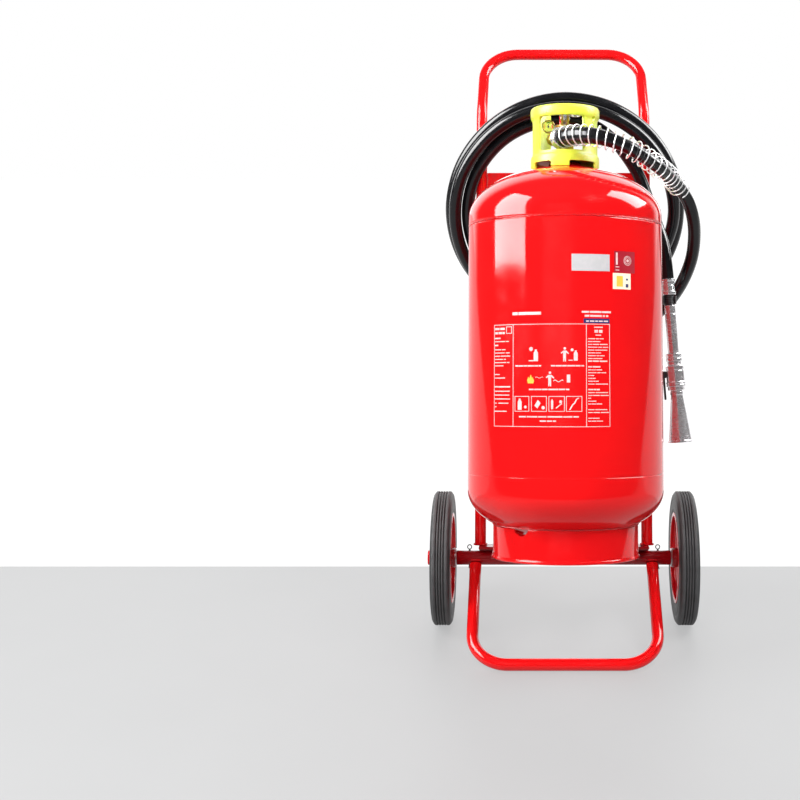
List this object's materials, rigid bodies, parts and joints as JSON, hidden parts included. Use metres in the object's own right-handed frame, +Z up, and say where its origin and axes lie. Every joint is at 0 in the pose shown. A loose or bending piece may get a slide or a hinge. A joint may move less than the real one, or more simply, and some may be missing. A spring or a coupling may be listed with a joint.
{
  "type": "wheeled fire extinguisher",
  "caption": "Red wheeled dry-powder fire extinguisher: domed cylinder on a leaning tube frame with rubber-tyred wheels, foot loop, yellow valve guard, coiled hose and nozzle gun.",
  "frame": {"origin": "on the floor, below the middle of the box round everything but the hose", "axes": "+X to the right facing the front, +Y to the back (the side the handle leans to), +Z up; the tyres and the foot loop stand on z = 0"},
  "size_m": [0.476, 0.6096, 0.9902],
  "materials": {
    "red_paint": "glossy red enamel",
    "dark_red_paint": "glossy dark red enamel",
    "yellow_guard": "fluorescent yellow moulding",
    "tyre_rubber": "ribbed grey-black rubber",
    "hose_rubber": "smooth glossy black rubber",
    "black_plastic": "satin black",
    "powder": "fine dry powder",
    "white_plastic": "matt white",
    "steel": "brushed",
    "bright_metal": "polished",
    "brass": "machined",
    "lens_glass": "clear"
  },
  "bodies": {
    "trolley": {"frame_tube": "red_paint", "foot_loop": "red_paint", "upper_cross_plate": "red_paint", "middle_cross_bar": "red_paint", "hose_hook": "red_paint", "axle_tube": "red_paint", "stub_axle_left": "red_paint", "stub_axle_right": "red_paint", "cylinder_shell": "red_paint", "foot_ring": "red_paint", "shelf_bracket_left": "dark_red_paint", "shelf_bracket_right": "dark_red_paint", "cylinder_saddle": "dark_red_paint", "neck_ring": "dark_red_paint", "valve_guard": "yellow_guard", "hose_lead": "hose_rubber", "hose_coil": "hose_rubber", "hose_tail": "hose_rubber", "neck_seal": "hose_rubber", "gun_clip": "black_plastic", "split_pin_left": "black_plastic", "split_pin_right": "black_plastic", "gun_sleeve": "black_plastic", "powder_charge": "powder", "dip_tube": "white_plastic", "gauge_dial": "white_plastic", "inner_washer_left": "steel", "inner_washer_right": "steel", "outer_washer_left": "steel", "outer_washer_right": "steel", "lever_pivot": "steel", "hose_ferrule": "steel", "coupling_nut": "bright_metal", "hose_spring": "bright_metal", "gun_barrel": "bright_metal", "gun_collar": "bright_metal", "gun_valve_body": "bright_metal", "gun_nozzle": "bright_metal", "valve_body": "brass", "gauge_body": "brass", "outlet_elbow": "brass", "gauge_lens": "lens_glass"},
    "wheel_left": {"tyre_left": "tyre_rubber", "rim_outer_left": "red_paint", "rim_inner_left": "red_paint", "hub_left": "dark_red_paint", "wheel_bush_left": "brass"},
    "wheel_right": {"tyre_right": "tyre_rubber", "rim_outer_right": "red_paint", "rim_inner_right": "red_paint", "hub_right": "dark_red_paint", "wheel_bush_right": "brass"},
    "opening_lever": {"opening_lever": "bright_metal"},
    "poppet": {"valve_poppet": "steel"},
    "safety_pin": {"safety_pin": "steel"},
    "gauge_needle": {"gauge_needle": "black_plastic"},
    "gun_valve": {"gun_lever": "black_plastic", "gun_ball": "steel"}
  },
  "joints": [
    {"name": "wheel_left_spin", "type": "hinge", "parent": "trolley", "child": "wheel_left", "pos_m": [-0.2105, -0.01152, 0.115], "axis": [1, 0, 0], "continuous": true},
    {"name": "wheel_right_spin", "type": "hinge", "parent": "trolley", "child": "wheel_right", "pos_m": [0.2105, -0.01152, 0.115], "axis": [1, 0, 0], "continuous": true},
    {"name": "lever_hinge", "type": "hinge", "parent": "trolley", "child": "opening_lever", "pos_m": [0, 0.00937, 0.88068], "axis": [1, 0, 0], "range_deg": [0, 90]},
    {"name": "poppet_slide", "type": "slide", "parent": "trolley", "child": "poppet", "axis": [0, 0.2588, 0.9659], "range_m": [-0.0035, 0]},
    {"name": "safety_pin_slide", "type": "slide", "parent": "trolley", "child": "safety_pin", "axis": [1, 0, 0], "range_m": [0, 0.02]},
    {"name": "needle_turn", "type": "hinge", "parent": "trolley", "child": "gauge_needle", "pos_m": [-0.028, -0.00637, 0.86834], "axis": [0, -0.9659, 0.2588], "range_deg": [-100, 100]},
    {"name": "gun_valve_turn", "type": "hinge", "parent": "trolley", "child": "gun_valve", "pos_m": [0.19337, 0.02312, 0.43745], "axis": [0.9974, 0.0185, 0.0691], "range_deg": [-90, 0]}
  ],
  "couplings": [
    {"joint": "poppet_slide", "follows": "lever_hinge", "m_per_rad": -0.0022282}
  ]
}
